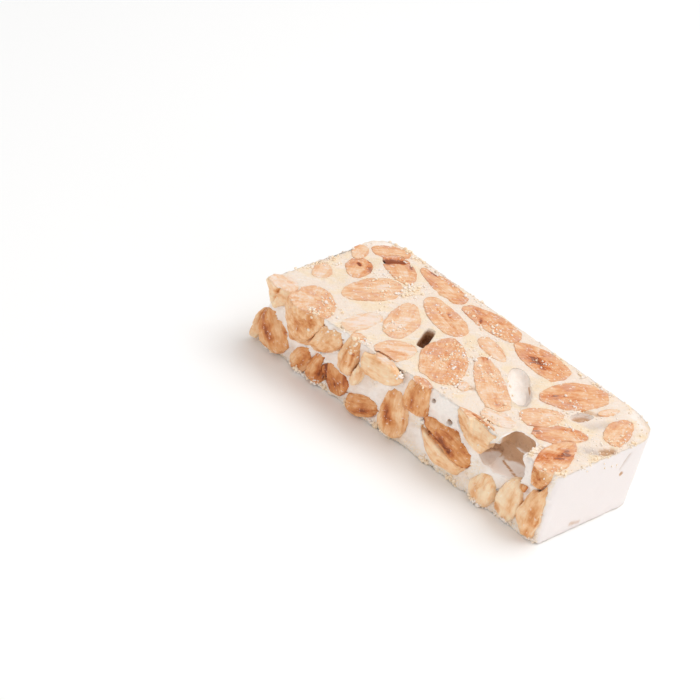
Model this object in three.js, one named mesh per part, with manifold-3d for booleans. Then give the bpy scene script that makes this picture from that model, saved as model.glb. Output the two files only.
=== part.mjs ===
// A hand-cut bar of hard white nougat packed with whole toasted almonds.
//
// Frame, in millimetres: +Z is up, the sawn under face rests on z = 0, and the origin is at the middle
// of that face. +X runs along the bar to its smooth moulded end, and -Y is the broken long side where
// the almonds stand out of the nougat. The top and the under face are sawn flat, so the almonds that
// they meet are sliced.
import * as THREE from "three";
import { mergeVertices } from "three/addons/utils/BufferGeometryUtils.js";
import Module from "manifold-3d";

const wasm = await Module();
wasm.setup();

// ---------------------------------------------------------------------------------------------------
// Driving dimensions
// ---------------------------------------------------------------------------------------------------
const HEIGHT = 22; // sawn face to sawn face
const NEAR_Y = -21.7; // nougat of the broken long side
const FAR_Y = 22.4; // nougat of the opposite long side, at the broken end
const LEFT_X = -49.6; // broken end, at its near corner
const RIGHT_X = 49.8; // moulded end, at its near corner
const END_SKEW = 3.8; // the moulded end runs this much further out at its far corner
const LEFT_SKEW = 2.4; // the broken end runs this much further in at its far corner
const TAPER = 1.6; // the bar is this much narrower at the moulded end
const CORNER = 9; // rounding of the two far corners, seen from above
// How far the broken side's upper edge hangs out over its foot: [place along the bar, overhang]
const OVERHANG = [
  [LEFT_X, 0.6],
  [-43, 2.2],
  [-36, 3.7],
  [-27, 3.2],
  [-18, 2.8],
  [-8, 2.9],
  [0, 1.6],
  [8, 0],
  [RIGHT_X, 0],
];

const GAP = 0.3; // clearance between an almond and whatever it touches
const PROUD = 1.4; // how far an almond may stand out of a broken face
const THICK = 7.5; // an almond's usual thickness
const RINGS = 5; // rings of facets along an almond
const SEGMENTS = 7; // facets round an almond
const TIP = 0.2; // how much slimmer an almond is towards its tip

// The six faces of the block. Each has an origin on the nougat, the directions of its u and v axes,
// which the placing below uses, and its outward normal.
const FACES = {
  top: { origin: [0, 0, HEIGHT], u: [1, 0, 0], v: [0, 1, 0], out: [0, 0, 1] },
  under: { origin: [0, 0, 0], u: [1, 0, 0], v: [0, 1, 0], out: [0, 0, -1] },
  near: { origin: [0, NEAR_Y, 0], u: [1, 0, 0], v: [0, 0, 1], out: [0, -1, 0] },
  far: { origin: [0, FAR_Y, 0], u: [1, 0, 0], v: [0, 0, 1], out: [0, 1, 0] },
  left: { origin: [LEFT_X + LEFT_SKEW / 2, 0, 0], u: [0, 1, 0], v: [0, 0, 1], out: [-1, 0, 0] },
  right: { origin: [RIGHT_X, 0, 0], u: [0, 1, 0], v: [0, 0, 1], out: [1, 0, 0] },
};

// ---------------------------------------------------------------------------------------------------
// Solids: three.js shapes them, manifold-3d only joins and cuts them
// ---------------------------------------------------------------------------------------------------
const vector = (a) => new THREE.Vector3(...a);

function solidOf(geometry) {
  const bare = geometry.clone();
  bare.deleteAttribute("normal");
  bare.deleteAttribute("uv");
  const merged = mergeVertices(bare, 1e-4);
  return new wasm.Manifold(
    new wasm.Mesh({
      numProp: 3,
      vertProperties: merged.attributes.position.array,
      triVerts: new Uint32Array(merged.index.array),
    }),
  );
}

function geometryOf(solid) {
  const mesh = solid.getMesh();
  const geometry = new THREE.BufferGeometry();
  geometry.setAttribute("position", new THREE.BufferAttribute(mesh.vertProperties, 3));
  geometry.setIndex(new THREE.BufferAttribute(mesh.triVerts, 1));
  const flat = geometry.toNonIndexed();
  flat.computeVertexNormals();
  return flat;
}

// The largest connected piece of a solid, so that no sliver is left behind by a cut.
const largest = (solid) => solid.decompose().sort((a, b) => b.volume() - a.volume())[0];

// ---------------------------------------------------------------------------------------------------
// The block of nougat: its outline seen from above, between the two sawn faces
// ---------------------------------------------------------------------------------------------------
function blockOutline() {
  const farRight = new THREE.Vector2(RIGHT_X + END_SKEW, FAR_Y - TAPER);
  const farLeft = new THREE.Vector2(LEFT_X + LEFT_SKEW, FAR_Y);
  const outline = new THREE.Shape();
  outline.moveTo(LEFT_X, NEAR_Y);
  for (const [x] of OVERHANG.slice(1)) outline.lineTo(x, NEAR_Y);
  outline.lineTo(farRight.x, farRight.y - 1.3 * CORNER);
  outline.quadraticCurveTo(farRight.x, farRight.y, farRight.x - 1.5 * CORNER, farRight.y);
  outline.lineTo(farLeft.x + 1.2 * CORNER, farLeft.y);
  outline.quadraticCurveTo(farLeft.x, farLeft.y, farLeft.x, farLeft.y - CORNER);
  outline.closePath();
  return outline;
}

// How far the broken side stands out at a place along the bar and a height.
function overhang(x, z) {
  const k = Math.max(1, OVERHANG.findIndex(([place]) => place >= x));
  const [[x0, y0], [x1, y1]] = [OVERHANG[k - 1], OVERHANG[k]];
  const part = THREE.MathUtils.clamp((x - x0) / (x1 - x0), 0, 1);
  return ((y0 + (y1 - y0) * part) * z) / HEIGHT;
}

function block() {
  const geometry = new THREE.ExtrudeGeometry(blockOutline(), {
    depth: HEIGHT,
    bevelEnabled: false,
    curveSegments: 6,
  });
  const place = geometry.attributes.position;
  for (let i = 0; i < place.count; i++) {
    const [x, y, z] = [place.getX(i), place.getY(i), place.getZ(i)];
    if (y < NEAR_Y + 0.01) place.setY(i, y - overhang(x, z));
  }
  return solidOf(geometry);
}

// ---------------------------------------------------------------------------------------------------
// Almonds
// ---------------------------------------------------------------------------------------------------
// An almond is a lathe turned about its length and pressed flat: round at one end, tapering to a tip.
function almondGeometry(length, width, thickness) {
  const profile = [];
  for (let i = 0; i <= RINGS; i++) {
    const along = (Math.PI * i) / RINGS;
    const radius = i % RINGS === 0 ? 0 : Math.sin(along) * (1 + TIP * Math.cos(along));
    profile.push(new THREE.Vector2(radius, -Math.cos(along)));
  }
  const geometry = new THREE.LatheGeometry(profile, SEGMENTS);
  geometry.scale(width / 2, length / 2, thickness / 2);
  return geometry;
}

// Carries an almond's own axes (x across, y along, z through) to its place: `turn` is the angle of its
// length from the face's u axis, `roll` tips it about its length and `depth` sinks its middle.
function placing(a) {
  const face = FACES[a.face];
  const u = vector(face.u);
  const v = vector(face.v);
  const out = vector(face.out);
  const turn = THREE.MathUtils.degToRad(a.turn);
  const along = u.clone().multiplyScalar(Math.cos(turn)).addScaledVector(v, Math.sin(turn));
  const across = new THREE.Vector3().crossVectors(along, out);
  const roll = new THREE.Matrix4().makeRotationAxis(along, THREE.MathUtils.degToRad(a.roll ?? 0));
  const middle = vector(face.origin).addScaledVector(u, a.u).addScaledVector(v, a.v);
  middle.addScaledVector(out, (a.face === "near" ? overhang(a.u, a.v) : 0) - a.depth);
  return new THREE.Matrix4().makeBasis(across, along, out).premultiply(roll).setPosition(middle);
}

// A broken face of an almond: the plane that leans `lean` degrees off the face's outward normal,
// towards `toward` degrees from its u axis, and passes `offset` from the almond's middle.
function chipPlane(a, [toward, lean, offset]) {
  const face = FACES[a.face];
  const t = THREE.MathUtils.degToRad(toward);
  const l = THREE.MathUtils.degToRad(lean);
  const normal = vector(face.out).multiplyScalar(Math.cos(l));
  normal.addScaledVector(vector(face.u), Math.sin(l) * Math.cos(t));
  normal.addScaledVector(vector(face.v), Math.sin(l) * Math.sin(t));
  const middle = new THREE.Vector3().setFromMatrixPosition(placing(a));
  return { normal, offset: middle.dot(normal) + offset };
}

// The almond grown by `grow` all round. Its length and width are what shows at the face's plane, so the
// whole almond is a little larger where the plane passes beside its middle.
function almondSolid(a, grow) {
  const thickness = a.thick ?? THICK;
  const shows = Math.sqrt(1 - Math.min(0.8, (2 * a.depth) / thickness) ** 2);
  const geometry = almondGeometry(
    a.length / shows + 2 * grow,
    a.width / shows + 2 * grow,
    thickness + 2 * grow,
  );
  let solid = solidOf(geometry.applyMatrix4(placing(a)));
  for (const chip of a.chips ?? []) {
    const plane = chipPlane(a, chip);
    solid = solid.trimByPlane(plane.normal.clone().negate().toArray(), -plane.offset - grow);
  }
  return solid;
}

// face, u, v, turn, length, width, then what is special about it
const almond = (name, face, u, v, turn, length, width, more = {}) => ({
  name: "almond_" + name,
  face,
  u,
  v,
  turn,
  length,
  width,
  depth: face === "top" || face === "under" ? 0.9 : 2.2,
  ...more,
});

// Chips are [towards, lean, offset]: see chipPlane. The lists run from the broken end to the moulded one.
const ALMONDS = [
  // Stand at the near edge, so the saw and the break both show
  almond("edge_01", "near", -44.6, 19.6, 20, 8.6, 9, { thick: 9, chips: [[205, 24, 3], [330, 20, 3]] }),
  almond("edge_02", "top", -34.8, -20.4, 115, 16, 14.4, {
    depth: 0,
    thick: 27,
    chips: [[250, 88, 6.2], [290, 86, 5.8]],
  }),
  almond("edge_03", "near", -17.8, 16.8, 84, 12.6, 6.2, { depth: 1.8, chips: [[165, 20, 2.6]] }),
  almond("edge_04", "near", -6.9, 18.8, 8, 13, 7.2, { depth: 1.2, thick: 6, chips: [[90, 14, 2.4]] }),
  almond("edge_05", "near", 5, 18.4, 88, 11.8, 8.4, { depth: 0.8, thick: 5.4 }),
  almond("edge_06", "near", 23.3, 19, 172, 15.4, 10, {
    depth: 0.8,
    thick: 7,
    chips: [[200, 24, 1.7], [18, 18, 1.8]],
  }),
  almond("edge_07", "top", 44.2, -14.6, 98, 18.6, 8.8, {
    depth: 0,
    thick: 19,
    chips: [[250, 76, 7.6], [296, 80, 7.6]],
  }),

  // Break out of the near side
  almond("near_01", "near", -43.8, 7.2, 128, 12.4, 10.8, { depth: 2, thick: 9, chips: [[60, 22, 2.9]] }),
  almond("near_02", "near", -49.7, 5.8, 78, 9.6, 4.6, { depth: 2, chips: [[20, 20, 2]] }),
  almond("near_03", "near", -25.9, 16.4, 38, 11.6, 7, {}),
  almond("near_04", "near", -33, 4.5, 62, 7.8, 6.6, {}),
  almond("near_05", "near", -26.9, 6, 80, 9.8, 6.2, { chips: [[0, 50, 2.4]] }),
  almond("near_06", "near", -21.6, 6.1, 160, 10, 8.8, { chips: [[250, 20, 2.4]] }),
  almond("near_07", "near", -15, 12.6, 100, 7.8, 4.8, { depth: 1, thick: 6, chips: [[200, 24, 1.8]] }),
  almond("near_08", "near", -10.6, 4.6, 15, 10.4, 7.6, { depth: 1.6, chips: [[90, 12, 2.6]] }),
  almond("near_09", "near", -0.5, 8.8, 97, 15.6, 9.8, { depth: 1.6, thick: 8.5, chips: [[100, 6, 2.9]] }),
  almond("near_10", "near", 15.6, 9, 170, 17.4, 12.4, { depth: 2.6, thick: 9, chips: [[257, 89, -0.7]] }),
  almond("near_11", "near", 15.6, 9, 170, 17.4, 12.4, { depth: 1.6, thick: 9, chips: [[77, 74, 0.4]] }),
  almond("near_12", "near", 30.7, 5.2, 84, 10.2, 9, { depth: 1.6, chips: [[120, 20, 2.7]] }),
  almond("near_13", "near", 38.7, 7.7, 80, 13.4, 8, { depth: 1.6, chips: [[130, 16, 2.9]] }),
  almond("near_14", "near", 46.1, 9.8, 86, 18, 7, {
    depth: 1.8,
    thick: 8,
    chips: [[10, 16, 3], [175, 18, 3]],
  }),
  almond("near_15", "near", 42.2, 13.9, 30, 3, 3, { depth: 0.6, thick: 3 }),

  // Sliced by the saw in the top face
  almond("top_01", "top", -44.6, 8.8, 288, 8, 5.2),
  almond("top_02", "top", -39.4, 2.6, 300, 11.6, 8),
  almond("top_03", "top", -32.8, 12.4, 332, 14.2, 10.4),
  almond("top_04", "top", -39.8, 16.6, 48, 12.4, 6.8),
  almond("top_05", "top", -30.4, -2.2, 254, 19.4, 11.4, { depth: 0.5 }),
  almond("top_06", "top", -43.8, -7.4, 122, 8.4, 6.8),
  almond("top_07", "top", -21.9, -15.4, 84, 14.4, 6.2, { thick: 4 }),
  almond("top_08", "top", -16.2, -5, 113, 19.4, 9.4, {}),
  almond("top_09", "top", -21.8, 17.8, 172, 19.6, 7.8),
  almond("top_10", "top", -11.8, 6.4, 160, 19.4, 10.8),
  almond("top_11", "top", -3.2, 16.2, 184, 20, 11),
  almond("top_12", "top", 1.2, -8.6, 118, 22.6, 14.2, { depth: 0.5 }),
  almond("top_13", "top", -8.2, -17.4, 70, 12.6, 9.6, { thick: 5 }),
  almond("top_14", "top", 5, 6.8, 338, 11, 6.2, { thick: 5 }),
  almond("top_15", "top", 15.6, 14.7, 178, 18.4, 12.2, { depth: 0.4, thick: 9 }),
  almond("top_16", "top", 14.6, -5.4, 140, 25, 10.2, {}),
  almond("top_17", "top", 30.4, 10, 246, 21, 12.6, { depth: 0.5, thick: 8.5 }),
  almond("top_18", "top", 31.2, -4.6, 66, 13.6, 9.2),
  almond("top_19", "top", 38.9, -6.2, 54, 16.2, 8.2, { thick: 6 }),
  almond("top_20", "top", 46.7, 8.8, 104, 13.4, 7.8, { thick: 6 }),
  almond("top_23", "top", 25.4, -15.2, 20, 10, 7.4, { depth: 0.4, thick: 5 }),
  almond("top_21", "top", 11.8, -12.8, 118, 4.8, 3, { depth: 0.3, thick: 3 }),
  almond("top_22", "top", 40, 13.2, 74, 8, 2.6, { depth: 0.3, thick: 3 }),

  // Break out of the far side and the two ends
  almond("far_01", "far", -30, 8.4, 20, 15, 9, {}),
  almond("far_02", "far", -12, 9, 155, 14, 8, { chips: [[60, 25, 2.8]] }),
  almond("far_03", "far", 6, 7.6, 80, 10.5, 8, {}),
  almond("far_04", "far", 20.5, 6.8, 15, 13, 7.6, { depth: 3 }),
  almond("far_05", "far", 35, 9, 120, 11.5, 8, { depth: 3.4, thick: 8.5, chips: [[200, 25, 3.2]] }),
  almond("left_01", "left", -9, 9, 70, 14, 8.6, { depth: 1.8, chips: [[20, 28, 2.6]] }),
  almond("left_02", "left", 6, 9.4, 150, 13.4, 9, { depth: 2.2 }),

  // Sliced by the saw in the under face
  almond("under_01", "under", -38, -8, 40, 17, 10.5),
  almond("under_02", "under", -22, 6, 330, 19, 11.5),
  almond("under_03", "under", -6, -7, 75, 18, 11),
  almond("under_04", "under", 12, 6, 160, 20, 11.5),
  almond("under_05", "under", 24, -7.6, 20, 17, 10.5),
  almond("under_06", "under", 38, 5.6, 100, 18, 11),
];

// ---------------------------------------------------------------------------------------------------
// Hollows: an almond that fell out, a slot beside a lost sliver, and two bubbles the saw opened
// ---------------------------------------------------------------------------------------------------
const HOLLOWS = [
  { face: "near", u: 34.6, v: 17.8, turn: 18, length: 13.6, width: 10.8, thick: 15, depth: 1.2 },
  { face: "near", u: 29.8, v: 14.8, turn: 40, length: 6.2, width: 5.6, thick: 8, depth: 0.5 },
  { face: "top", u: 19.8, v: 0.4, turn: 312, length: 15.6, width: 5.4, thick: 6, depth: 0 },
  { face: "top", u: 37.4, v: 4.8, turn: 70, length: 6, width: 3, thick: 5, depth: 0 },
  { face: "top", u: -7.9, v: -5.6, turn: 112, length: 10, width: 2.7, thick: 11, depth: 0, slot: true },
];

function hollowSolid(h) {
  if (!h.slot) return almondSolid(h, 0);
  const slot = new THREE.BoxGeometry(h.width, h.length, h.thick);
  return solidOf(slot.applyMatrix4(placing(h)));
}

// ---------------------------------------------------------------------------------------------------
// Assembly
// ---------------------------------------------------------------------------------------------------
// The bar's whole body between the two saw cuts, with room for the almonds to stand out of its broken
// sides. The moulded end gets none.
function standingRoom(body) {
  const shifts = [[0, 1], [0, -1], [-1, 0], [-1, -1]];
  return shifts.reduce((room, [x, y]) => room.add(body.translate(x * PROUD, y * PROUD, 0)), body);
}

function buildBar() {
  const bar = new THREE.Group();
  const body = block();
  const room = standingRoom(body);
  let taken = HOLLOWS.map(hollowSolid).reduce((a, b) => a.add(b));
  let mass = body.subtract(taken);

  const flesh = new THREE.MeshStandardMaterial({ color: 0xdda877, roughness: 0.6, metalness: 0 });
  for (const a of ALMONDS) {
    const flush = a.name.startsWith("almond_top");
    const solid = largest(almondSolid(a, 0).intersect(flush ? body : room).subtract(taken));
    const pocket = almondSolid(a, GAP);
    taken = taken.add(pocket);
    mass = mass.subtract(pocket);
    const mesh = new THREE.Mesh(geometryOf(solid), flesh.clone());
    mesh.name = a.name;
    bar.add(mesh);
  }

  const cream = new THREE.MeshStandardMaterial({ color: 0xf3e7da, roughness: 0.7, metalness: 0 });
  const nougat = new THREE.Mesh(geometryOf(largest(mass)), cream);
  nougat.name = "nougat";
  bar.add(nougat);

  const extent = new THREE.Box3().setFromObject(bar);
  const middle = extent.getCenter(new THREE.Vector3());
  bar.position.set(-middle.x, -middle.y, -extent.min.z);
  return bar;
}

export default buildBar();
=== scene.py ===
# %% [markdown]
# # A bar of hard almond nougat
# The bar is one slab of white nougat packed with whole toasted almonds. It was sawn flat above and
# below, broken along its near side and at its left end, and it keeps the smooth skin of its mould at
# its right end. The frame holds a plain solid for the nougat and one for each almond, and each of them
# is replaced here by the finished piece.

import math

import bmesh
import bpy
import numpy as np
from mathutils import Matrix, Vector
from mathutils.bvhtree import BVHTree
from mathutils.kdtree import KDTree


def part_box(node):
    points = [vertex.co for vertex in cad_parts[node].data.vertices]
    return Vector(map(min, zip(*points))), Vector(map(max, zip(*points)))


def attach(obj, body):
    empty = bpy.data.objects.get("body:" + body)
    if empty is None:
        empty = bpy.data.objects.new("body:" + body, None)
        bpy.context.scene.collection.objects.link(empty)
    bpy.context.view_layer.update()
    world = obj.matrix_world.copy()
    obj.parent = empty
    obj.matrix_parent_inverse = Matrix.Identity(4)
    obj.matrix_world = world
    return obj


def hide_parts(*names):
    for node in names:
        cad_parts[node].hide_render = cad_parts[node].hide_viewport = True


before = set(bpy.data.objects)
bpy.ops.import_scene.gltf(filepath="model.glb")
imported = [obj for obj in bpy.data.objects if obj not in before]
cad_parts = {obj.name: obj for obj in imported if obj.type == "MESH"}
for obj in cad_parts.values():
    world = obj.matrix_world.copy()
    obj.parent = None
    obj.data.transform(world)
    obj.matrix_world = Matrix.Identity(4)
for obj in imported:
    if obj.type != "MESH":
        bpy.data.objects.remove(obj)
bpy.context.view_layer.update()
MM = 0.001  # the frame is in metres and this script works in millimetres


def box_mm(node):
    """The lowest and highest corner of a frame node, in millimetres."""
    low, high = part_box(node)
    return np.array(low) / MM, np.array(high) / MM


LOW, HIGH = box_mm("nougat")
TOP = HIGH[2]
ORIGIN = np.array([-1.3, 1.51, 0])  # the places of marks and hollows below are measured from here
NEAR_WALL = -21.7 + ORIGIN[1]  # foot of the broken long side
ALMONDS = sorted(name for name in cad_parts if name.startswith("almond_"))
print("nougat from", LOW.round(1), "to", HIGH.round(1), "with", len(ALMONDS), "almonds")

# %% [markdown]
# ## Camera
# The bar is seen from above its near right corner with a long lens, so that its edges stay almost
# parallel. The camera is also tipped about its own axis, as for a bar that leans on another one.

# %% Place the camera
AZIMUTH, ELEVATION, ROLL = (math.radians(a) for a in (33.54, 33.99, 15.51))
DISTANCE = 657.3  # from the lens to the point that it looks at
FOCUS = Vector((-23.77, -14.47, TOP / 2)) + Vector(ORIGIN)


def new_object(name, data):
    """An object in the scene, for a mesh, a camera or a lamp."""
    made = bpy.data.objects.new(name, data)
    bpy.context.scene.collection.objects.link(made)
    return made


def view_rotation(azimuth, elevation, roll):
    """Turns a camera to look along -Z of its own axes at a point that it sees from that direction."""
    level = Matrix.Rotation(azimuth, 3, "Z") @ Matrix.Rotation(math.pi / 2 - elevation, 3, "X")
    return level @ Matrix.Rotation(roll, 3, "Z")


lens = bpy.data.cameras.new("long_lens")
lens.lens = 128.57
lens.sensor_width = 36
lens.clip_end = 10
camera = new_object("camera", lens)
turn = view_rotation(AZIMUTH, ELEVATION, ROLL)
camera.matrix_world = Matrix.Translation((FOCUS + turn @ Vector((0, 0, DISTANCE))) * MM) @ turn.to_4x4()
bpy.context.scene.camera = camera
print("camera at", [round(c / MM) for c in camera.matrix_world.translation], "mm")

# %% [markdown]
# ## Tools for uneven surfaces
# Food has no flat or even surface, so every piece is moved about by soft noise. The noise is worked out
# here in arrays, a million points a second, and a seed fixes its pattern.

# %% Noise and soft steps
LATTICE = 32  # the noise repeats after this many lumps


def grain(points, size, seed):
    """Smooth noise from -1 to 1 at each point, with lumps about `size` millimetres apart."""
    lattice = np.random.default_rng(seed).uniform(-1, 1, (LATTICE, LATTICE, LATTICE))
    scaled = points / size + 2 * LATTICE
    cell = np.floor(scaled).astype(int)
    part = scaled - cell
    part = part * part * (3 - 2 * part)
    total = np.zeros(len(points))
    for corner in np.ndindex(2, 2, 2):
        at = (cell + corner) % LATTICE
        weight = np.where(np.array(corner, bool), part, 1 - part).prod(axis=1)
        total += weight * lattice[at[:, 0], at[:, 1], at[:, 2]]
    return total


def ridges(points, size, seed):
    """Noise from -1 to 1 that has narrow crests, like pulled sugar."""
    return 1 - np.abs(grain(points, size, seed)) * 2


def step(value, low, high):
    """0 below `low` and 1 above `high`, with a soft change between them."""
    part = np.clip((value - low) / (high - low), 0, 1)
    return part * part * (3 - 2 * part)


print("a soft step at its middle is", step(0.5, 0, 1))

# %% [markdown]
# ## Tools for meshes
# Moving vertices one at a time in Python is slow, so a mesh's places come out as one array, are worked
# on together, and go back in one call. Numbers that a material needs at each vertex are stored on the
# mesh in the same way, which is also what keeps them in step with the shape.

# %% Meshes in and out of arrays


def rows_of(items, name):
    """What each item has under that name, as an array with one row each."""
    flat = np.empty(len(items) * 3)
    items.foreach_get(name, flat)
    return flat.reshape(-1, 3)


def coordinates(mesh):
    return rows_of(mesh.vertices, "co")


def directions(mesh):
    return rows_of(mesh.vertex_normals, "vector")


def move_vertices(mesh, points):
    mesh.vertices.foreach_set("co", np.ascontiguousarray(points).ravel())
    mesh.update()


def paint(mesh, name, values):
    """Stores a number, or a vector, for each vertex, which a material reads by its name."""
    values = np.asarray(values, float)
    kind = "FLOAT" if values.ndim == 1 else "FLOAT_VECTOR"
    layer = mesh.attributes.new(name, kind, "POINT")
    layer.data.foreach_set("value" if values.ndim == 1 else "vector", values.ravel())


print("array tools ready")

# %% Balls, modifiers and finished pieces


def ball_mesh(name, subdivisions):
    """A round ball, one millimetre in radius."""
    ball = bmesh.new()
    bmesh.ops.create_icosphere(ball, subdivisions=subdivisions, radius=1)
    mesh = bpy.data.meshes.new(name)
    ball.to_mesh(mesh)
    ball.free()
    return mesh


def with_modifiers(piece):
    """The mesh of an object after its modifiers. The object itself goes away."""
    graph = bpy.context.evaluated_depsgraph_get()
    mesh = bpy.data.meshes.new_from_object(piece.evaluated_get(graph))
    bpy.data.objects.remove(piece)
    return mesh


def finished_piece(name, mesh, nodes=()):
    """Brings a mesh to metres and makes it a piece that rides on the bar."""
    mesh.transform(Matrix.Scale(MM, 4))
    mesh.polygons.foreach_set("use_smooth", np.ones(len(mesh.polygons), bool))
    mesh.update()
    piece = new_object(name, mesh)
    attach(piece, "root")
    if nodes:
        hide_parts(*nodes)
    return piece


print("piece tools ready")

# %% [markdown]
# ## Almonds
# Each almond of the frame is a faceted egg shape with flat breaks. Joining its coplanar facets and
# creasing its sharp edges lets a subdivision surface round the skin and keep the cuts crisp. A fine
# remesh then spreads small even faces over it, which the noise can move.

# %% Round the frame's almonds
CREASE_ANGLE = math.radians(38)
ALMOND_GRID = 0.36  # size of a finished almond's faces


def round_almond(node):
    """A fine mesh in millimetres with the shape of a frame almond."""
    shape = bmesh.new()
    shape.from_mesh(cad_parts[node].data)
    bmesh.ops.scale(shape, vec=Vector((1, 1, 1)) / MM, verts=shape.verts)
    bmesh.ops.remove_doubles(shape, verts=shape.verts, dist=0.01)
    bmesh.ops.dissolve_limit(shape, angle_limit=math.radians(2), verts=shape.verts, edges=shape.edges)
    crease = shape.edges.layers.float.new("crease_edge")
    for edge in shape.edges:
        sharp = len(edge.link_faces) == 2 and edge.calc_face_angle() > CREASE_ANGLE
        edge[crease] = 1.0 if sharp else 0.0
    mesh = bpy.data.meshes.new(node)
    shape.to_mesh(mesh)
    shape.free()
    piece = new_object(node, mesh)
    rounding = piece.modifiers.new("rounding", "SUBSURF")
    rounding.levels = rounding.render_levels = 3
    even = piece.modifiers.new("even", "REMESH")
    even.mode = "VOXEL"
    even.voxel_size = ALMOND_GRID
    return with_modifiers(piece)


rounded = {node: round_almond(node) for node in ALMONDS}
print("almond faces", sum(len(mesh.polygons) for mesh in rounded.values()))

# %% [markdown]
# ## What marks the almonds
# Toasting colours an almond from its heart outwards, so a slice may show a dark middle, and where the
# two halves part there is a brown crack. One mark on the near side is painted shade, which darkens one
# facet of a broken almond. Each mark is a stretch between two points on the face where it shows: across
# the bar in plan for the top, and in height for the near side.

# % How far each almond is toasted, from 0 for pale to 1 for brown, in the order of their numbers
TOAST = {
    "edge": (0.16, 0.34, 0.38, 0.22, 0.5, 0.2, 0.42),
    "near": (0.54, 0.3, 0.42, 0.5, 0.6, 0.64, 0.12, 0.56, 0.42, 0.6, 0.28, 0.2, 0.14, 0.36, 0.5),
    "top": (
        0.38, 0.48, 0.44, 0.46, 0.34, 0.24, 0.04, 0.28, 0.48, 0.38, 0.46, 0.46, 0.26,
        0.3, 0.44, 0.3, 0.46, 0.32, 0.48, 0.42, 0.22, 0.26, 0.06,
    ),
}
USUAL_TOAST = 0.35


def toast_of(node):
    """How far an almond is toasted, by the kind and the number in its name."""
    kind, number = node.split("_")[1:]
    return TOAST[kind][int(number) - 1] if kind in TOAST else USUAL_TOAST


print("tones from", min(map(toast_of, ALMONDS)), "to", max(map(toast_of, ALMONDS)))

# %% Marks: face, start, end, half width, depth of the groove, how brown
MARKS = [
    ("top", (-41, 4.4), (-40.2, 4), 1.1, 0.35, 1.0),
    ("top", (-40.4, 8), (-39.6, 7.6), 0.9, 0.2, 0.7),
    ("top", (-39.5, 6.4), (-37, 4.6), 1.6, 0.1, 0.4),
    ("top", (-38.2, 11.4), (-35.4, 15.8), 1.9, 1.2, 1.0),
    ("top", (-33, 17.2), (-31.6, 15.4), 0.9, 0.3, 0.5),
    ("top", (-29, 20.6), (-26, 20), 1.6, 0.3, 0.45),
    ("top", (-15, 7.4), (-7, 4.9), 0.7, 0.3, 0.5),
    ("top", (-12, 8.6), (-8, 5.4), 0.6, 0.2, 0.45),
    ("top", (-6, 15.4), (-2.5, 10.6), 0.6, 0.3, 0.6),
    ("top", (-9, 17), (1, 16), 2.8, 0, 0.2),
    ("top", (14.2, 14.4), (17.6, 14), 3.6, 0.1, 0.7),
    ("top", (11.4, 15), (20.4, 13.6), 4.6, 0, 0.26),
    ("top", (6, 2.4), (6.6, 1.8), 1.7, 0.1, 0.7),
    ("top", (8, 0.6), (22, -11.6), 2.0, 0.05, 0.2),
    ("top", (0, -6), (3, -9), 1.2, 0.1, 0.2),
    ("top", (27, 4), (32, 14), 3.0, 0.05, 0.3),
    ("top", (38, -3), (42, -1.6), 2.4, 0.05, 0.2),
    ("top", (41.8, -19), (44.6, -12), 4.0, 0.05, 0.5),
    ("top", (20.6, -19.9), (28.6, -20.5), 0.5, 0.3, 0.9),
    ("top", (15.5, -21.6), (21, -20.4), 1.9, 0, 0.3),
    ("top", (33, -10), (36, -12), 2.2, 0, 0.25),
    ("top", (-34, -16), (-30, -20), 3.0, 0, 0.15),
    ("top", (-9, -19), (-6, -17), 2.4, 0, 0.3),
    ("near", (9.4, 10.6), (18.2, 8.6), 0.75, 0.9, 0.75),
    ("near", (13.5, 10.4), (18.6, 9.4), 2.0, 0.4, 0.5),
    ("near", (8.4, 12.6), (8.8, 6), 1.0, 0.3, 0.5),
    ("near", (-25, 8.6), (-24.2, 4), 0.9, 0.6, 0.5),
    ("near", (-24.5, 4.2), (-20.5, 4.4), 3.0, 0.15, 0.3),
    ("near", (-48, 8), (-45, 6), 3.2, 0.1, 0.3),
    ("near", (-12.6, 5.2), (-9.6, 3.6), 3.2, 0.2, 0.25),
    ("near", (-3.4, 8.6), (-1.2, 5.4), 3.4, 0.3, 0.4),
    ("near", (36, 4.4), (36.9, 3), 1.2, 0.1, 0.6),
    ("near", (48.5, 6), (49, 8.4), 0.7, 0.3, 0.6),
    ("near", (3.6, 14), (4.4, 22), 1.6, 0.05, 0.16),
    ("near", (-17.2, 16.4), (-17.6, 12.6), 0.9, 0.4, 0.6),
    ("near", (45.8, 6), (46.2, 15), 0.9, 0.1, 0.16),
    ("near", (-45.4, 19.8), (-46.8, 15.6), 0.8, 0.8, 0.6),
    ("near", (23, 23), (28.4, 23.1), 0.4, 0, 0.6),
    ("near", (29.6, 22.8), (30.6, 22.4), 1.5, 0, 0.4),
    ("near", (18, 20), (22, 16), 2.6, 0, 0.3),
    # Painted shade: this mark darkens the right-hand facet of the broken almond here, beside its lighter
    # left facet.
    ("near", (-37, 13), (-33.4, 17), 2.6, 0, 0.42),
    ("near", (-39.6, 9), (-36, 8.8), 1.2, 0, 0.4),
    ("near", (41.4, 24), (44.6, 19), 2.2, 0.1, 0.35),
]

# Places on the near side are given as they are seen from the camera, on an upright plane this far in
# front of the bar's middle. What lies a millimetre nearer seems shifted by the slip, along and up.
SIGHT_PLANE = 22
SIGHT_SLIP = (0.66, 0.81)
print(len(MARKS), "marks")

# %% Where a mark reaches


def on_face(points, face):
    """Where points lie on a face of the block, by its own two measures."""
    local = points - ORIGIN
    if face == "near":
        return local[:, [0, 2]] + (local[:, 1:2] + SIGHT_PLANE) * SIGHT_SLIP
    return local[:, [0, 1] if face == "top" else [1, 2]]


def near_stretch(flat, start, end):
    """How far each point of a face is from a stretch between two points on it."""
    start, end = np.array(start, float), np.array(end, float)
    along = end - start
    part = np.clip((flat - start) @ along / max(along @ along, 1e-6), 0, 1)
    return np.linalg.norm(flat - start - part[:, None] * along, axis=1)


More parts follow.
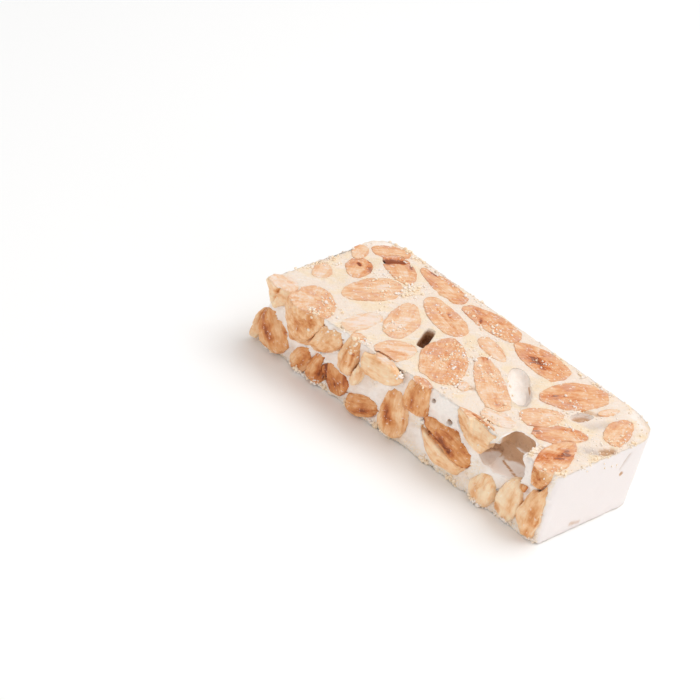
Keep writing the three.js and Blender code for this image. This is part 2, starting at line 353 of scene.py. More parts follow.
def soft_spot(points, face, start, end, width):
    """1 along a stretch of a face and 0 away from it, with an uneven soft edge."""
    blur = 1.1 + 0.35 * grain(points, 1.1, 90) + 0.15 * grain(points, 0.5, 91)
    return 1 - step(near_stretch(on_face(points, face), start, end) / width, 0, blur)


middle_mark = soft_spot(np.array([[0, 0, TOP]]), "top", (-1, 0), (1, 0), 2)
print("a mark is", middle_mark[0].round(2), "in its middle")

# %% [markdown]
# ## The split almond
# Beside the large hollow, one almond broke along the flat face between its two halves, and shows that
# smooth pale face. The frame has the whole almond there. Cutting it would need another solid, so the
# points beyond the break are moved straight back onto it instead, which keeps the mesh closed.

# %% Move an almond's points back onto its break
SPLIT_ALMOND = "almond_edge_06"
SPLIT = np.array([(23, -20.5, 22), (30.5, -20.9, 22), (24.5, -22.7, 16)]) + ORIGIN  # places on the break
SPLIT_START = 21.8 + ORIGIN[0]  # how far along the bar the break starts at the top
SPLIT_LEAN = 0.37  # how much farther it starts for each millimetre down


def split_normal():
    """The direction out of the split."""
    normal = np.cross(SPLIT[2] - SPLIT[0], SPLIT[1] - SPLIT[0])
    return normal / np.linalg.norm(normal)


def split_off(points):
    """The split almond's points moved back onto its break, and which of them moved."""
    beyond = np.maximum((points - SPLIT[0]) @ split_normal(), 0)
    beyond *= step(points[:, 0] - SPLIT_START - SPLIT_LEAN * (TOP - points[:, 2]), -0.3, 0.3)
    return points - beyond[:, None] * split_normal(), beyond > 0.05


print("the break faces", split_normal().round(2))

# %% [markdown]
# ## Almond surfaces
# No two almonds have the same outline, so large soft noise first bends the whole shape sideways. The
# skin and the broken faces alike then get shallow furrows along the length, roughened by finer noise. A
# sawn almond keeps its flat face, which stands a hair above the nougat round it.

# %% An almond's own directions and its sawn rim


def own_axes(points):
    """An almond's middle and its three directions, the longest first."""
    middle = points.mean(axis=0)
    spread = np.cov((points - middle).T)
    return middle, np.linalg.eigh(spread)[1][:, ::-1].T


def rim_distance(points, sawn):
    """How far each sawn point is from the almond's skin."""
    away = np.full(len(points), 9.0)
    if sawn.any() and not sawn.all():
        skin = KDTree(int((~sawn).sum()))
        for k, point in enumerate(points[~sawn]):
            skin.insert(point, k)
        skin.balance()
        away[sawn] = [skin.find(point)[2] for point in points[sawn]]
    return away


first_points = coordinates(rounded[ALMONDS[0]])
print("the first almond's length runs along", own_axes(first_points)[1][0].round(2))

# %% Bend an almond and furrow its skin
BENDS = [(7, 0, 0.55), (2.6, 3, 0.22), (1.2, 11, 0.12)]  # size of the lumps, first seed, how far


def bend_of(points, seed):
    """How far an almond's points move: much by wide noise, less by finer noise, and level where sawn."""
    bend = np.zeros((len(points), 3))
    for size, first, reach in BENDS:
        bend += np.stack([grain(points, size, seed + first + k) for k in range(3)], axis=1) * reach
    bend[:, 2] *= step(np.minimum(points[:, 2], TOP - points[:, 2]), 0.2, 2)
    return bend


def furrows_of(points, kernel, seed):
    """How high the skin stands: furrows run along the almond's length, and fine noise roughens them."""
    furrows = grain(kernel * (0.2, 1, 1), 1.4, seed + 7) * 0.2 + grain(kernel, 3.6, seed + 9) * 0.35
    return furrows + grain(points, 0.9, seed + 8) * 0.1


print("the first almond bends by up to", np.abs(bend_of(first_points, 100)).max().round(2), "mm")

# %% Shape and mark each almond
SAWN_PROUD = 0.05  # how far a sawn almond stands above the nougat
SAWN_WITHIN = 0.25  # a point this near to a sawn face belongs to it
DEEPEST_CRACK = 0.5  # in a sawn face


def shape_almond(node, mesh, seed):
    """Bends, furrows and marks an almond, and paints what its finish needs to know."""
    points = coordinates(mesh)
    outward = directions(mesh)
    middle, axes = own_axes(points)
    kernel = (points - middle) @ axes.T
    over, under = points[:, 2] > TOP - SAWN_WITHIN, points[:, 2] < SAWN_WITHIN
    sawn = (over | under).astype(float)
    lift = np.where(sawn > 0, 0, furrows_of(points, kernel, seed))
    moved = points + bend_of(points, seed) + outward * lift[:, None]
    split = np.zeros(len(points), bool)
    if node == SPLIT_ALMOND:
        moved, split = split_off(moved)
    over &= ~split
    sawn[split] = 0

    toast = np.zeros(len(points))
    groove = np.zeros(len(points))
    near = split | ((outward[:, 1] < -0.35) & (sawn == 0) & (points[:, 1] < NEAR_WALL + 2))
    for face, start, end, width, depth, brown in MARKS:
        close = soft_spot(moved, face, start, end, width) * (over if face == "top" else near)
        toast = np.maximum(toast, close * brown)
        groove = np.maximum(groove, close * depth)
    moved -= outward * groove[:, None]
    moved[over, 2] = TOP + SAWN_PROUD - np.minimum(groove[over], DEEPEST_CRACK)
    moved[under, 2] = 0
    moved[:, 2] = np.clip(moved[:, 2], 0, TOP + 0.4)
    move_vertices(mesh, moved)

    paint(mesh, "kernel", kernel)
    paint(mesh, "rim", rim_distance(moved, sawn > 0))
    paint(mesh, "sawn", sawn)
    paint(mesh, "mark", toast)
    paint(mesh, "toast", np.full(len(points), toast_of(node)))
    return int(split.sum())


split_count = sum(shape_almond(node, mesh, 100 + 10 * k) for k, (node, mesh) in enumerate(rounded.items()))
print("almonds shaped, with", split_count, "points on the split")

# %% [markdown]
# ## The nougat's block
# The nougat needs small even faces everywhere, which a subdivided box can't give its rounded corners.
# Its outline is walked once at an even pace, the two sawn faces are filled by a patch between the
# outline's four sides, and the walls join them row by row.

# %% Outline of the block
STEPS_LONG, STEPS_WIDE, STEPS_HIGH = 240, 104, 52
ARC_STEPS = 40
END_SKEW = 3.7  # how much farther the moulded end reaches at its far corner than at its near one
LEFT_SKEW = 3.0  # the same for the broken left end
TORN_DEPTH = 1.1  # how far the torn nougat lies behind the frame's face, where almonds stand out
CORNERS = [  # where it is, and how far the rounding reaches along the side before it and after it
    ((LOW[0] + TORN_DEPTH, NEAR_WALL + TORN_DEPTH), 1.6, 1.6),
    ((HIGH[0] - END_SKEW, NEAR_WALL + TORN_DEPTH), 1.2, 1.2),
    ((HIGH[0], HIGH[1] - 1.6), 11.5, 14.5),
    ((LOW[0] + LEFT_SKEW, HIGH[1]), 11, 9.5),
]


def outline_points():
    """The block's outline seen from above, as its four sides in turn."""
    dense, splits = [], []
    count = len(CORNERS)
    for k in range(count):
        corner = np.array(CORNERS[k][0])
        reach_before, reach_after = CORNERS[k][1:]
        before = np.array(CORNERS[k - 1][0]) - corner
        after = np.array(CORNERS[(k + 1) % count][0]) - corner
        start = corner + before / np.linalg.norm(before) * reach_before
        end = corner + after / np.linalg.norm(after) * reach_after
        t = np.linspace(0, 1, ARC_STEPS + 1)[:, None]
        arc = (1 - t) ** 2 * start + 2 * t * (1 - t) * corner + t**2 * end
        splits.append(len(dense) + ARC_STEPS // 2)
        dense.extend(arc)
    dense = np.array(dense)
    dense = np.vstack([dense[splits[0] :], dense[: splits[0] + 1]])
    splits = [s - splits[0] for s in splits] + [len(dense) - 1]
    sides = []
    for k, steps in enumerate((STEPS_LONG, STEPS_WIDE, STEPS_LONG, STEPS_WIDE)):
        run = dense[splits[k] : splits[k + 1] + 1]
        length = np.concatenate([[0], np.cumsum(np.linalg.norm(np.diff(run, axis=0), axis=1))])
        even = np.linspace(0, length[-1], steps + 1)
        sides.append(np.stack([np.interp(even, length, run[:, c]) for c in range(2)], axis=1))
    return sides


print("points on the outline", sum(len(side) - 1 for side in outline_points()))

# %% A patch between the four sides, and the overhang
# place along the bar, and how far the broken side's upper edge hangs out over its foot there
OVERHANG = [(-49.6, 0.6), (-43, 2.2), (-36, 3.7), (-27, 3.2), (-18, 2.8), (-8, 2.9), (0, 1.6), (8, 0)]


def patch(sides):
    """A grid that fills the outline: it blends each pair of opposite sides."""
    near, right, far, left = sides[0], sides[1], sides[2][::-1], sides[3][::-1]
    u = np.linspace(0, 1, STEPS_LONG + 1)[:, None, None]
    v = np.linspace(0, 1, STEPS_WIDE + 1)[None, :, None]
    across = (1 - v) * near[:, None] + v * far[:, None]
    along = (1 - u) * left[None] + u * right[None]
    corners = (1 - u) * (1 - v) * near[0] + u * (1 - v) * near[-1]
    corners = corners + (1 - u) * v * far[0] + u * v * far[-1]
    return across + along - corners


def hang_out(points):
    """Leans the broken side outwards, and less and less of the bar behind it."""
    places, reach = zip(*OVERHANG)
    out = np.interp(points[:, 0] - ORIGIN[0], places, reach) * points[:, 2] / TOP
    leaned = points.copy()
    leaned[:, 1] -= out * np.clip(points[:, 1] / NEAR_WALL, 0, 1) ** 2
    return leaned


print("the edge hangs out by up to", max(reach for _, reach in OVERHANG), "mm")

# %% Join the faces and walls of the block


def block_mesh():
    """The closed block, in millimetres."""
    sides = outline_points()
    grid = patch(sides)
    wide = STEPS_WIDE + 1
    number = np.arange((STEPS_LONG + 1) * wide).reshape(STEPS_LONG + 1, wide)
    rim = np.concatenate([number[:-1, 0], number[-1, :-1], number[:0:-1, -1], number[0, :0:-1]])
    flat = grid.reshape(-1, 2)
    layers = [np.column_stack([flat, np.full(len(flat), z)]) for z in (0, TOP)]
    heights = np.linspace(0, TOP, STEPS_HIGH + 1)[1:-1]
    walls = [np.column_stack([flat[rim], np.full(len(rim), z)]) for z in heights]
    points = hang_out(np.vstack(layers + walls))

    top = len(flat)
    cell = [number[:-1, :-1], number[1:, :-1], number[1:, 1:], number[:-1, 1:]]
    upper = np.stack([c.ravel() + top for c in cell], axis=1)
    lower = np.stack([c.ravel() for c in cell[::-1]], axis=1)
    rows = [rim] + [2 * top + k * len(rim) + np.arange(len(rim)) for k in range(len(heights))]
    rows.append(rim + top)
    bands = []
    for below, above in zip(rows[:-1], rows[1:]):
        bands.append(np.stack([below, np.roll(below, -1), np.roll(above, -1), above], axis=1))
    faces = np.vstack([upper, lower] + bands)
    mesh = bpy.data.meshes.new("nougat_block")
    mesh.from_pydata(points, [], faces)
    mesh.update()
    return mesh


block = block_mesh()
print("block faces", len(block.polygons))

# %% [markdown]
# ## The nougat's surface
# Each face of the block has a surface of its own. The saw leaves the top crumbly but level, the broken
# near side and left end are pulled into soft crests, and the moulded end is nearly smooth. Where an
# almond shows, the nougat stays just behind it, and it climbs a little round the almond's foot.

# %% Find almonds near a place


def search_tree(meshes, scale=1):
    """One search tree for several meshes."""
    points, faces, start = [], [], 0
    for mesh in meshes:
        points.append(coordinates(mesh) * scale)
        faces.extend([[start + v for v in face.vertices] for face in mesh.polygons])
        start += len(mesh.vertices)
    return BVHTree.FromPolygons(np.vstack(points).tolist(), faces)


almond_tree = search_tree(rounded.values())
PROBE = 6  # how far outside the block the search for an almond starts


def almond_height(points, outward):
    """How far the nearest almond's surface lies outside each point, or -9 where there is none."""
    heights = np.full(len(points), -9.0)
    for k, (point, out) in enumerate(zip(points, outward)):
        origin = Vector(point + out * PROBE)
        hit = almond_tree.ray_cast(origin, Vector(-out), PROBE + 3)
        if hit[0] is not None:
            heights[k] = PROBE - hit[3]
    return heights


def almond_distance(points):
    """How far each point is from the nearest almond."""
    return np.array([almond_tree.find_nearest(Vector(p))[3] for p in points])


print("the middle of the top face is", almond_distance([(0, 0, TOP)])[0].round(1), "mm from an almond")

# %% Relief of the plain block


def relief(points, outward):
    """How far each point of the plain block moves outwards, before the almonds are made room for."""
    flatness = outward[:, 2] ** 2
    moulded = step(outward[:, 0], 0.45, 0.8)
    far = step(outward[:, 1], 0.3, 0.8)
    torn = 1 - np.maximum(moulded, far * 0.55)

    crumble = 0.08 * grain(points, 2.2, 1) + 0.12 * grain(points, 0.8, 2) - 0.14
    pits = step(grain(points, 1.9, 3), 0.45, 0.8) * 0.25
    sawn = crumble - pits

    pulled = 0.3 * grain(points, 9, 4) + 0.6 * (ridges(points, 4.2, 5) - 0.45)
    pulled += 0.34 * grain(points, 1.9, 6) + 0.18 * grain(points, 0.8, 7)
    pulled -= step(grain(points, 1.4, 12), 0.5, 0.8) * 0.5
    smooth = 0.3 * grain(points, 14, 8) + 0.1 * grain(points, 4, 9) + 0.03 * grain(points, 1.2, 10)
    walls = torn * pulled + (1 - torn) * smooth
    return flatness * sawn + (1 - flatness) * walls


points = coordinates(block)
outward = directions(block)
lift = relief(points, outward)
print("plain relief from", lift.min().round(2), "to", lift.max().round(2), "mm")

# %% [markdown]
# ## Nougat and almonds together
# The nougat must not cover the almonds that show, nor leave dark gaps beside them. So it is lowered only
# where an almond shows on all sides of a place, and it climbs a little where it meets one. A few spots
# of their own follow: dents, brown stains, grey patches with painted shade in one bubble, and the groove
# in the moulded end.

# %% Where almonds hide the nougat
SHOWN_WITHIN = 0.9  # an almond no deeper than this shows
BESIDE = 0.8  # how far to each side an almond must show too
MOULDED_FROM = 0.6  # a surface that faces the moulded end more than this covers its almonds


def hidden_under_almonds(points, outward, lift):
    """Where an almond shows here and all round here, so that the nougat must stay well below it."""
    upright = np.abs(outward[:, 2:]) > 0.7
    first = np.where(upright, (1, 0, 0), (0, 0, 1))
    second = np.cross(outward, first)
    hidden = (almond_height(points, outward) > lift - SHOWN_WITHIN) & (outward[:, 0] < MOULDED_FROM)
    for way in (first, -first, second, -second):
        there = hidden.copy()
        beside = points[hidden] + way[hidden] * BESIDE
        there[hidden] = almond_height(beside, outward[hidden]) > -SHOWN_WITHIN
        hidden = there
    return hidden


showing = almond_height(points[:500], outward[:500]) > -SHOWN_WITHIN
print("almonds show at", int(showing.sum()), "of the first 500 places")

# %% Spots of the nougat: face, start, end, half width, depth, brown stain, grey (patches, and painted shade in the large bubble)
SPOTS = [
    # Painted shade: this grey spot darkens the lower right of the large bubble.
    ("top", (22.4, 0.4), (24.6, -5), 3.0, 0, 0.05, 0.8),
    ("top", (41, 4), (42.6, 8), 2.6, 0.2, 0.05, 0.7),
    ("top", (46.9, -4.6), (48.9, -2.8), 2.2, 0.5, 0.1, 0.9),
    ("top", (49.6, -1.4), (50.4, 1), 1.9, 0.9, 0.6, 0.2),
    ("top", (11, -14), (13, -11.4), 1.6, 0.4, 0.35, 0),
    ("top", (34.6, 7), (38.6, 9.4), 1.6, 0.2, 0.4, 0),
    ("top", (25.4, -14.6), (26.8, -12.6), 0.8, 0.3, 0.5, 0),
    ("right", (5.2, 15.4), (7.4, 19.2), 1.0, 0.35, 0.2, 0.5),
    ("right", (6, 13.5), (6.4, 13.2), 0.8, 0.1, 0.8, 0),
    ("right", (-8.6, 2.4), (-5.4, 1.8), 1.3, 0, 0.3, 0.1),
    ("top", (20.6, 3.6), (22.8, 1.4), 0.22, 0, 0.8, 0),
    ("top", (-47.5, -6), (-47, 8), 2.0, 0.3, 0.2, 0),
    ("near", (35, 17), (40.6, 14.8), 0.52, 0, 0.85, 0),
]
SMOOTH_PATCHES = [((-44.4, 15.4), (-42.6, 18.8), 2.4), ((43.6, 18.6), (50.8, 15.2), 1.9)]

print(len(SPOTS), "spots and", len(SMOOTH_PATCHES), "smooth patches")

# %% Give the block its relief
COLLAR = 0.35  # how high the nougat climbs round an almond's foot
UNDER_FLAT, UNDER_WALL = 0.45, 1.4  # how far it is lowered under almonds

gap = almond_distance(points)
wall = 1 - outward[:, 2] ** 2
lift += COLLAR * np.exp(-((gap / 0.7) ** 2)) * wall
for face, start, end, width, depth, brown, grey in SPOTS:
    facing = outward[:, {"top": 2, "right": 0, "near": 1}[face]] > 0.5
    lift -= soft_spot(points, face, start, end, width) * facing * depth
lift = np.where(wall < 0.5, np.minimum(lift, -0.01), lift)
lift -= hidden_under_almonds(points, outward, lift) * np.where(wall < 0.5, UNDER_FLAT, UNDER_WALL)

ragged = 0.25 + 0.25 * grain(points, 1.6, 11)
on_edge = (np.abs(outward[:, 2]) > 0.3) & (np.abs(outward[:, 2]) < 0.95)
lift -= on_edge * ragged
moved = points + outward * lift[:, None]
moved[:, 2] = np.clip(moved[:, 2], 0, TOP)
move_vertices(block, moved)
print("relief from", lift.min().round(2), "to", lift.max().round(2), "mm")

# %% [markdown]
# ## Hollows
# An almond that fell out leaves the smooth print of its skin, and air in the sugar leaves long round
# bubbles. They undercut the surface, which moved faces can't do, so each is a rounded cutter taken out
# of the block.

# %% Hollows and their cutters
# middle, half sizes, turn about the face's normal in degrees, face, how brown its inside is painted (the
# print of almond skin, and painted shade that deepens inwards), and how round: 1 for an egg shape and less
# for a squarer one
NEAR = NEAR_WALL - ORIGIN[1]
FINE_ABOVE = 3  # a hollow with a half size above this needs a finer cutter
HOLLOWS = [
    ((34.2, NEAR + 1.6, 16.1), (6.4, 5.6, 4.3), 16, "near", 0.6, 0.7),
    ((34.9, NEAR + 2.6, 20.0), (4.0, 5.3, 4.6), 0, "near", 0.6, 0.7),
    ((29.2, NEAR + 1.4, 14.6), (3.2, 4.6, 2.9), 35, "near", 0.8, 1),
    ((19.7, 0.4, TOP), (8.2, 3.2, 2.6), -48, "top", 0.05, 0.85),
    ((37.2, 4.8, TOP), (3.4, 1.8, 2.4), 72, "top", 0.95, 1),
    ((-36.8, 13.7, TOP), (2.9, 1.2, 2.2), 58, "top", 1.3, 0.5),
    ((-7.8, -5.6, TOP), (4.9, 1.45, 5.4), -68, "top", 1.0, 0.45),
    ((9.4, NEAR, 19.0), (0.8, 2.4, 0.7), 0, "near", 1.6, 1),
    ((15.6, NEAR, 16.2), (0.9, 2.6, 0.8), 0, "near", 1.6, 1),
]


def hollow_axes(turn_degrees, face):
    """The turn of a hollow, as a matrix."""
    axis = "Z" if face == "top" else "Y"
    angle = math.radians(turn_degrees if face == "top" else -turn_degrees)
    return np.array(Matrix.Rotation(angle, 3, axis))


def hollow_cutter(hollow, seed):
    """A bubble's mesh, in millimetres."""
    middle, half, turn_degrees, face, _, roundness = hollow
    mesh = ball_mesh("hollow_cutter", 5 if max(half) > FINE_ABOVE else 3)
    unit = coordinates(mesh)
    unit = np.sign(unit) * np.abs(unit) ** roundness
    placed = (unit * half) @ hollow_axes(turn_degrees, face).T + middle + ORIGIN
    bump = 0.35 * grain(placed, 3.4, seed) + 0.1 * grain(placed, 1.1, seed + 1)
    move_vertices(mesh, placed + directions(mesh) * bump[:, None] * min(1, min(half) / 2))
    return mesh


hollow_cutters = [hollow_cutter(hollow, 300 + 5 * k) for k, hollow in enumerate(HOLLOWS)]
print(len(hollow_cutters), "cutters for hollows")

# %% Cut the hollows


def cut(mesh, cutters):
    """The mesh without what the cutters hold."""
    piece = new_object("nougat_block", mesh)
    tools = [new_object("hollow", cutter) for cutter in cutters]
    for tool in tools:
        opening = piece.modifiers.new("opening", "BOOLEAN")
        opening.operation = "DIFFERENCE"
        opening.solver = "MANIFOLD"
        opening.object = tool
    result = with_modifiers(piece)
    for tool in tools:
        bpy.data.objects.remove(tool)
    return result


nougat = cut(block, hollow_cutters)
print("nougat faces", len(nougat.polygons))

# %% [markdown]
# ## What the nougat's finish needs to know
# One finish covers the whole body of nougat, though it looks different where it was sawn, torn, moulded
# or stained, and where shade is painted into its hollows and one bubble. The mesh knows which place is
# which, so the numbers are worked out here and stored at each vertex. Masks made of noise alone would
# put the stains and the painted shade anywhere.

# %% Brown stain and painted shade in the hollows
STAIN_AND_SHADE_MARGIN = 0.4  # how far outside a hollow's own size its brown stain and painted shade still reach

points = coordinates(nougat)
outward = directions(nougat)
inside = np.zeros(len(points))
brown = np.zeros(len(points))
grey = np.zeros(len(points))
for middle, half, turn_degrees, face, stain_and_shade, roundness in HOLLOWS:
    local = (points - ORIGIN - middle) @ hollow_axes(turn_degrees, face) / (np.array(half) + STAIN_AND_SHADE_MARGIN)
    local = np.abs(local) ** (1 / roundness)
    depth = TOP - points[:, 2] if face == "top" else points[:, 1] - NEAR_WALL
    # Part of a hollow's brown is the print of almond skin and part is painted shade: it grows with depth,
    # and the upward floor of a crater in the near side, which the light reaches, keeps only a fifth of it.
    within = (np.linalg.norm(local, axis=1) < 1) * step(depth, 0.3, 3)
    inside = np.maximum(inside, within)
    floor = step(outward[:, 2], 0.25, 0.65) if face == "near" else 0
    brown = np.maximum(brown, within * stain_and_shade * (1 - 0.8 * floor))
print("hollow share", round(float((inside > 0).mean()), 3))

# %% Brown stains, grey patches and painted shade of the spots
for face, start, end, width, depth, brown_stain, grey_patch_and_shade in SPOTS:
    if face == "near":
        facing = inside > 0
    elif face == "top":
        facing = (outward[:, 2] > 0.3) & (points[:, 2] > TOP - 2)
    else:
        facing = outward[:, 0] > 0.5
    close = soft_spot(points, face, start, end, width) * facing
    brown = np.maximum(brown, close * brown_stain)
    grey = np.maximum(grey, close * grey_patch_and_shade)
paint(nougat, "brown", brown)
paint(nougat, "grey", grey)
print("stained share", round(float((brown + grey > 0.1).mean()), 3))

# %% Sawn, crumbly and moulded places
IN_HOLLOW = 0.08

sawn = step(np.abs(outward[:, 2]), 0.5, 0.85) * ((points[:, 2] > TOP - 0.9) | (points[:, 2] < 0.4))
for start, end, width in SMOOTH_PATCHES:
    sawn *= 1 - soft_spot(points, "top", start, end, width)
paint(nougat, "sawn", sawn * (inside < IN_HOLLOW))
foot = 1 - step(points[:, 2] + 1.6 * grain(points, 3, 70), 0.5, 4)
crumbly = np.maximum(foot, step(grain(points, 5, 71), 0.25, 0.7) * 0.7) * (inside < IN_HOLLOW)
paint(nougat, "crumbly", crumbly)
paint(nougat, "moulded", step(outward[:, 0], 0.4, 0.75) * step(points[:, 0], HIGH[0] - 9, HIGH[0] - 6))
print("sawn share", sawn.mean().round(2), "and crumbly share", crumbly.mean().round(2))

# %% [markdown]
# ## Finishes
# A finish is a graph of nodes. Writing the graph as sums and products in Python keeps it readable, so a
# small class wraps a socket and adds the nodes that an expression needs.

# %% Sockets that can be added and mixed


class Wire:
    """The output of a node, which Python expressions can use."""

    def __init__(self, socket):
        self.socket = socket
        self.tree = socket.id_data

    @staticmethod
    def pick(sockets, key):
        if isinstance(key, int):
            return sockets[key]
        return next(s for s in sockets if key in (s.identifier, s.name))

    def node(self, kind, settings=None, inputs=None, out=0):
        """Adds a node to the same graph: its settings, then its sockets' values or links."""
        made = self.tree.nodes.new(kind)
        for name, value in (settings or {}).items():
            if name == "stops":
                Wire.set_stops(made.color_ramp, value)
            else:
                setattr(made, name, value)
        for key, value in (inputs or {}).items():
            socket = Wire.pick(made.inputs, key)
            if isinstance(value, Wire):
                self.tree.links.new(value.socket, socket)
            else:
                socket.default_value = value
        return Wire(Wire.pick(made.outputs, out))

    @staticmethod
    def set_stops(ramp, stops):
        while len(ramp.elements) < len(stops):
            ramp.elements.new(1)
        for element, (at, colour) in zip(ramp.elements, stops):
            element.position = at
            element.color = colour

    def math(self, operation, first, second):
        return self.node("ShaderNodeMath", {"operation": operation}, {0: first, 1: second})

    def __add__(self, other):
        return self.math("ADD", self, other)

    def __radd__(self, other):
        return self.math("ADD", other, self)

    def __sub__(self, other):
        return self.math("SUBTRACT", self, other)

    def __rsub__(self, other):
        return self.math("SUBTRACT", other, self)

    def __mul__(self, other):
        return self.math("MULTIPLY", self, other)

    def __rmul__(self, other):
        return self.math("MULTIPLY", other, self)

    def step(self, low, high):
        """0 below `low` and 1 above `high`, softly."""
        limits = {"Value": self, "From Min": low, "From Max": high}
        return self.node("ShaderNodeMapRange", {"interpolation_type": "SMOOTHSTEP"}, limits)

    def mix(self, without, within):
        """One colour where this mask is 0 and the other where it is 1."""
        colours = {"Factor_Float": self, "A_Color": without, "B_Color": within}
        return self.node("ShaderNodeMix", {"data_type": "RGBA"}, colours, "Result_Color")

    def noise(self, size, detail=2.0, roughness=0.5, stretch=(1, 1, 1)):
        """Noise from 0 to 1 over this place, with lumps about `size` of its units apart."""
        place = self.node("ShaderNodeVectorMath", {"operation": "MULTIPLY"}, {0: self, 1: stretch})
        lumps = {"Vector": place, "Scale": 1 / size, "Detail": detail, "Roughness": roughness}
        return place.node("ShaderNodeTexNoise", {}, lumps, "Fac")

    def turned(self, degrees):
        """This place, turned about the upright axis."""
        turn = (0, 0, math.radians(degrees))
        return self.node("ShaderNodeMapping", {}, {"Vector": self, "Rotation": turn})

    def bump(self, strength, distance):
        """The direction of a surface that is raised by this height."""
        heights = {"Height": self, "Strength": strength, "Distance": distance}
        return self.node("ShaderNodeBump", {}, heights, "Normal")

    def read(self, name, out="Fac"):
        """What was painted on the mesh under that name."""
        return self.node("ShaderNodeAttribute", {"attribute_name": name}, {}, out)


print("socket class ready")

# %% New finishes


def tint(red, green, blue):
    """A colour for a shader from the usual numbers up to 255."""
    parts = [c / 255 for c in (red, green, blue)]
    return tuple(c / 12.92 if c <= 0.04045 else ((c + 0.055) / 1.055) ** 2.4 for c in parts) + (1,)


def new_finish(name):
    """A material, its shader node, and a wire with the place on the object in metres."""
    material = bpy.data.materials.new(name)
    material.use_nodes = True
    shader = material.node_tree.nodes["Principled BSDF"]
    coordinate = material.node_tree.nodes.new("ShaderNodeTexCoord")
    return material, shader, Wire(coordinate.outputs["Object"])


def connect(shader, **values):
    """Gives the shader's sockets, named with _ for a space, their wires or plain values."""
    for name, value in values.items():
        socket = shader.inputs[name.replace("_", " ")]
        if isinstance(value, Wire):
            shader.id_data.links.new(value.socket, socket)
        else:
            socket.default_value = value


print("half grey is", round(tint(128, 128, 128)[0], 3), "to a shader")

# %% [markdown]
# ## Nougat finish
# Whipped sugar and egg white scatter light below the surface, so the nougat gets a little subsurface
# light. Sawn, it is a warm cream with yellow crumbs and no gloss. Torn, it is whiter and shines where it
# was pulled. In the moulded skin it is almost white.

# %% Colours of nougat
SAWN_CREAM = tint(243, 226, 211)
CRUMB_YELLOW = tint(248, 222, 182)
CRUMB_CREAM = tint(252, 230, 200)
SUGAR_WHITE = tint(249, 240, 233)
TORN_CREAM = tint(236, 218, 203)
MOULDED_WHITE = tint(244, 235, 232)
# Brown and tan serve both for real stains and for the painted shade deep in the hollows.
BROWN_STAIN_AND_SHADE = tint(146, 96, 62)
TAN_STAIN_AND_SHADE = tint(206, 164, 128)
# The grey serves for grey patches and for the painted shade in the large bubble.
GREY_PATCH_AND_SHADE = tint(202, 188, 181)
SAW_ANGLE = 50  # the saw crossed the bar at this angle to its length
BUMP, BUMP_HEIGHT = 0.7, 0.4 * MM  # how strongly, and how high, the finest relief stands
print("sawn cream is", [round(c, 2) for c in SAWN_CREAM[:3]])

# %% Make the nougat finish


def nougat_finish():
    material, shader, place = new_finish("nougat")
    layers = ("sawn", "moulded", "brown", "grey", "crumbly")
    sawn, moulded, brown, grey, crumbly = map(place.read, layers)
    lumps = place.noise(2.4 * MM, 3)
    crumbs = place.noise(0.55 * MM, 3, 0.65)
    stain = place.noise(6 * MM, 2)
    streaks = place.turned(-SAW_ANGLE).noise(0.8 * MM, 3, 0.6, (0.2, 1, 1))

    cut_colour = (crumbs.step(0.52, 0.76) * 0.7).mix(SAWN_CREAM, CRUMB_YELLOW)
    cut_colour = (stain.step(0.46, 0.62) * 0.55).mix(cut_colour, CRUMB_YELLOW)
    cut_colour = (streaks.step(0.52, 0.72) * 0.5).mix(cut_colour, SUGAR_WHITE)
    torn_colour = (stain.step(0.4, 0.7) * 0.7).mix(SUGAR_WHITE, TORN_CREAM)
    torn_colour = (crumbs.step(0.42, 0.62) * crumbly * 0.8).mix(torn_colour, CRUMB_YELLOW)
    colour = moulded.mix(torn_colour, MOULDED_WHITE)
    colour = sawn.mix(colour, cut_colour)
    # Painted shade: the grey layer darkens the lower right of the large bubble, besides grey patches
    # elsewhere.
    colour = (grey * 0.8).mix(colour, GREY_PATCH_AND_SHADE)
    # Painted shade: the brown layer darkens the hollows with depth, besides the real brown stains.
    patchy_stain_and_shade = brown + (crumbs - 0.5) * brown * 0.8 + (lumps - 0.5) * brown * 0.7
    colour = patchy_stain_and_shade.step(0.05, 0.5).mix(colour, TAN_STAIN_AND_SHADE)
    colour = patchy_stain_and_shade.step(0.5, 1.1).mix(colour, BROWN_STAIN_AND_SHADE)

    gloss = lumps.step(0.4, 0.62) * (1 - moulded * 0.8)
    roughness = 0.55 - gloss * 0.3 * (1 - sawn) + sawn * 0.25
    uneven = 1 - moulded * 0.5
    relief = crumbs * (0.25 + sawn * 0.9 + crumbly * 1.2) + lumps * 0.8 + streaks * sawn * 0.8
    bump = (relief * uneven).bump(BUMP, BUMP_HEIGHT)
    connect(shader, Base_Color=colour, Roughness=roughness, Normal=bump)
    connect(shader, Subsurface_Weight=0.2, Subsurface_Radius=(1.0, 0.88, 0.8), Subsurface_Scale=0.9 * MM)
    return material


nougat.materials.clear()
nougat.materials.append(nougat_finish())
finished_piece("nougat_bar", nougat, ["nougat"])
print("nougat finished")

# %% [markdown]
# ## Almond finish
# One finish serves every almond, because each mesh carries its own numbers: how far it is toasted, the
# way its length runs, where the saw or a crack met it, and the painted shade on one facet. The grain
# follows the length, the saw leaves it pale with faint streaks, and the broken sides are browner and
# rougher.

# %% Colours of almond, from pale to brown
SAWN_STOPS = [
    (0.0, tint(240, 219, 204)),
    (0.3, tint(238, 194, 154)),
    (0.55, tint(227, 163, 114)),
    (0.85, tint(206, 112, 48)),
    (1.0, tint(140, 66, 24)),
]
BROKEN_STOPS = [
    (0.0, tint(252, 224, 188)),
    (0.3, tint(243, 196, 148)),
    (0.6, tint(220, 149, 86)),
    (0.85, tint(188, 102, 40)),
    (1.0, tint(140, 68, 26)),
]
print(len(SAWN_STOPS), "tones sawn and", len(BROKEN_STOPS), "broken")

# %% Make the almond finish


